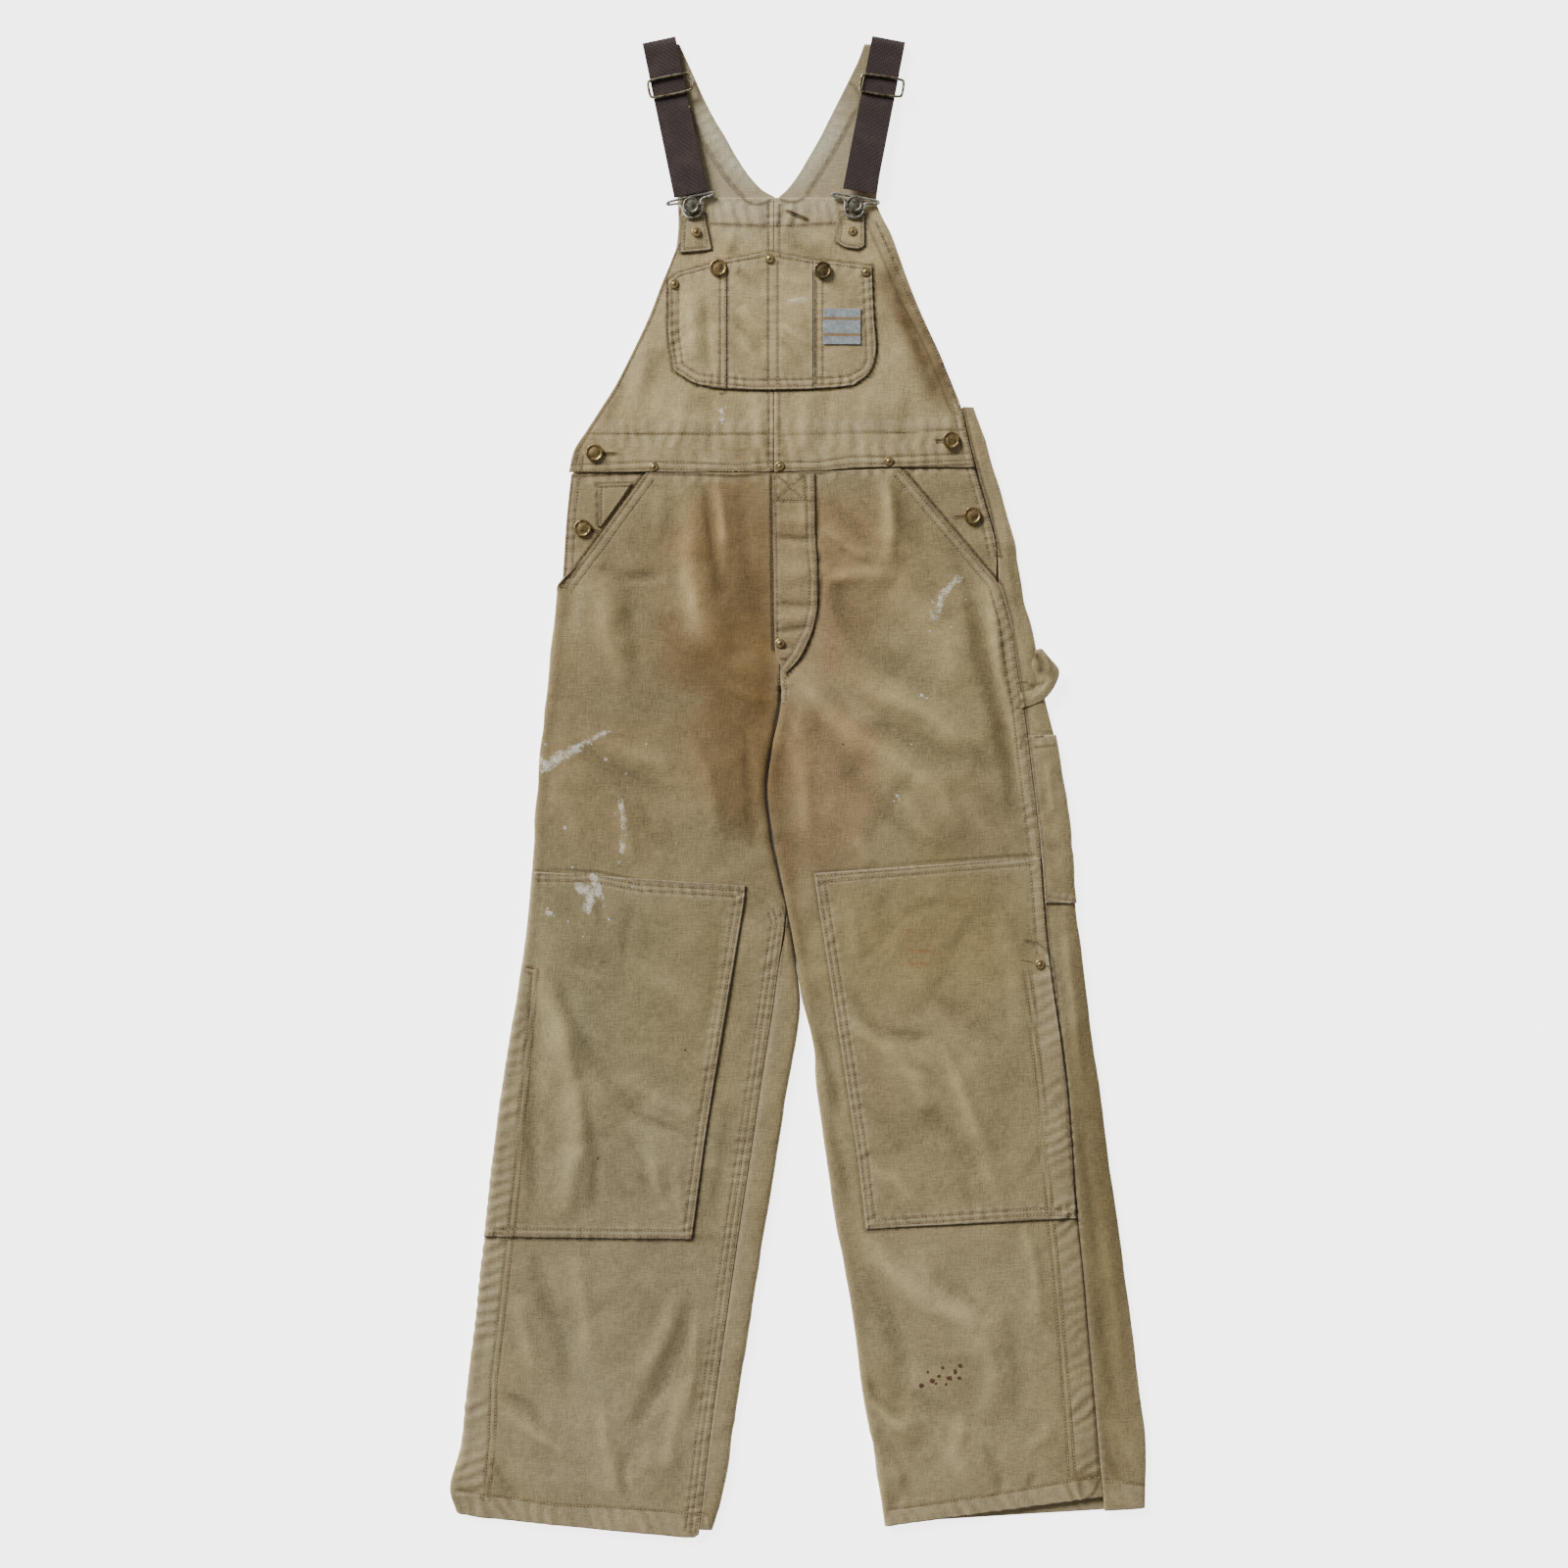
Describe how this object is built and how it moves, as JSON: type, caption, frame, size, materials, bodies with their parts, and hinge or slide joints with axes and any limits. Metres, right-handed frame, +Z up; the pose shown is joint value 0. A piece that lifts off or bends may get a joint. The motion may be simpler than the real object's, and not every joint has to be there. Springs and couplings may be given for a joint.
{
  "type": "bib overalls",
  "caption": "Worn tan duck bib overalls with paint spatter, laid flat on their back, double knees, leg zips and brown elastic straps.",
  "frame": {"origin": "centre of the bounding box, at the level of the floor the garment lies on", "axes": "+X towards the wearer's left side, +Y up the garment from hems to shoulders, +Z up off the floor through the layers"},
  "size_m": [0.684, 1.4748, 0.0135],
  "materials": {
    "duck": "matte",
    "elastic_webbing": "matte",
    "zip_tape": "matte",
    "woven_patch": "matte",
    "brass": "aged",
    "wire": "aged"
  },
  "bodies": {
    "root": {"front_leg_left": "duck", "knee_patch_left": "duck", "back_leg_left": "duck", "front_leg_right": "duck", "knee_patch_right": "duck", "back_leg_right": "duck", "tool_pocket": "duck", "back_upper_left": "duck", "back_upper_right": "duck", "bib_left": "duck", "bib_right": "duck", "bib_pocket_left": "duck", "bib_pocket_centre": "duck", "bib_pocket_right": "duck", "woven_patch": "woven_patch", "strap_tab_left": "duck", "strap_tab_right": "duck", "side_panel_left": "duck", "coin_pocket": "duck", "side_panel_right": "duck", "fly": "duck", "zip_left": "zip_tape", "zip_right": "zip_tape", "hammer_loop": "duck", "strap_left": "elastic_webbing", "strap_right": "elastic_webbing", "slider_left": "wire", "slider_right": "wire", "buckle_left": "wire", "buckle_right": "wire", "strap_button_left": "brass", "strap_button_right": "brass", "pocket_button_left": "brass", "pocket_button_right": "brass", "side_button_left_upper": "brass", "side_button_left_lower": "brass", "side_button_right_upper": "brass", "side_button_right_lower": "brass", "rivet_pocket_left": "brass", "rivet_pocket_centre": "brass", "rivet_pocket_right": "brass", "rivet_tab_left": "brass", "rivet_tab_right": "brass", "rivet_waist_left": "brass", "rivet_waist_centre": "brass", "rivet_waist_right": "brass", "rivet_slash_right": "brass", "rivet_zip_right": "brass", "rivet_fly": "brass"}
  },
  "joints": []
}
